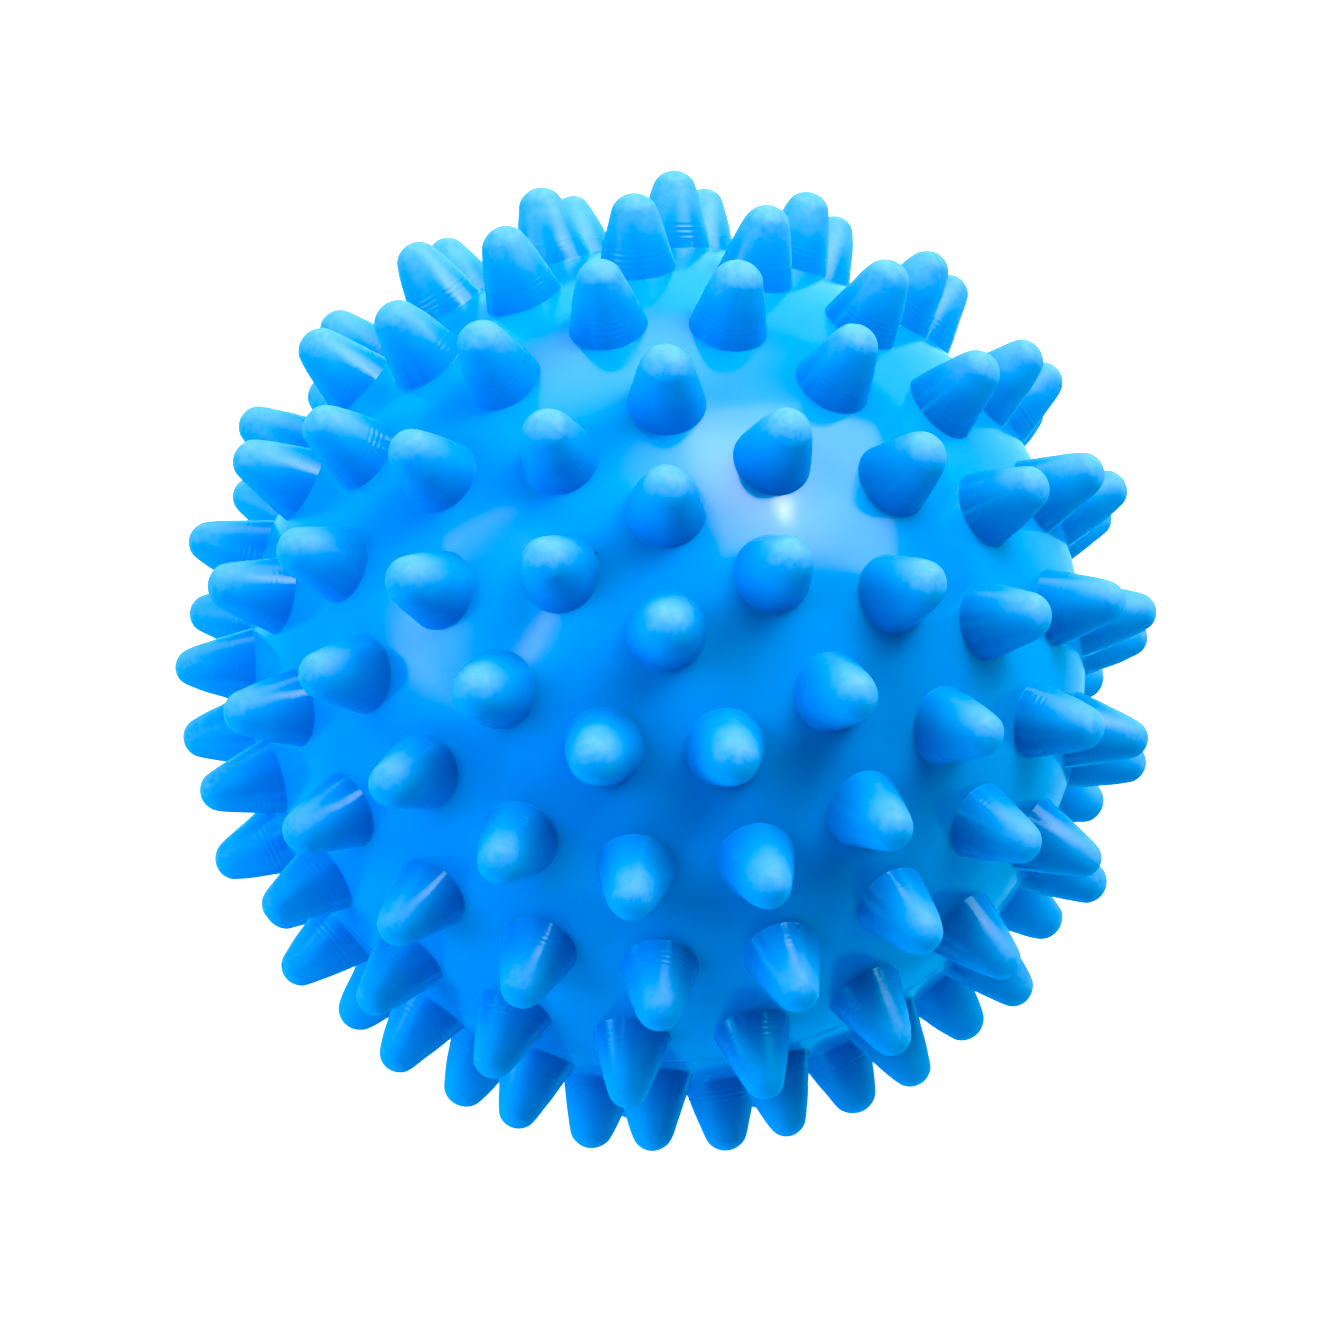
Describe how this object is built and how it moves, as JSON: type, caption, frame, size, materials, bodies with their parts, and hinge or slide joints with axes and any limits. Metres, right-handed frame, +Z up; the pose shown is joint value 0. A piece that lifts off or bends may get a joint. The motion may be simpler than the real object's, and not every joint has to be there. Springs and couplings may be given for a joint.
{
  "type": "dryer ball",
  "caption": "Hollow round dryer ball of soft glossy PVC, covered in rings of round-tipped conical spikes, with a push-in vent plug at one pole.",
  "frame": {"origin": "on the moulding axis, in the plane that the six lowest spike tips rest on", "axes": "+Z up along the moulding axis, from the vent plug at the lower pole to the pole spike; +X and +Y level, with the pictured side tilted towards -Y"},
  "size_m": [0.0692, 0.0692, 0.0686],
  "materials": {
    "ball_pvc": "glossy soft PVC, azure blue",
    "plug_pvc": "satin soft PVC, milky white"
  },
  "bodies": {
    "ball": {"shell": "ball_pvc", "pole_spike": "ball_pvc", "spike_ring_1": "ball_pvc", "spike_ring_2": "ball_pvc", "spike_ring_3": "ball_pvc", "spike_ring_4": "ball_pvc", "spike_ring_5": "ball_pvc", "spike_ring_6": "ball_pvc", "spike_ring_7": "ball_pvc", "spike_ring_8": "ball_pvc", "spike_ring_9": "ball_pvc", "spike_ring_10": "ball_pvc"},
    "plug": {"vent_plug": "plug_pvc"}
  },
  "joints": [
    {"name": "plug_pull", "type": "slide", "parent": "ball", "child": "plug", "axis": [0, 0, -1], "range_m": [0, 0.009]}
  ]
}
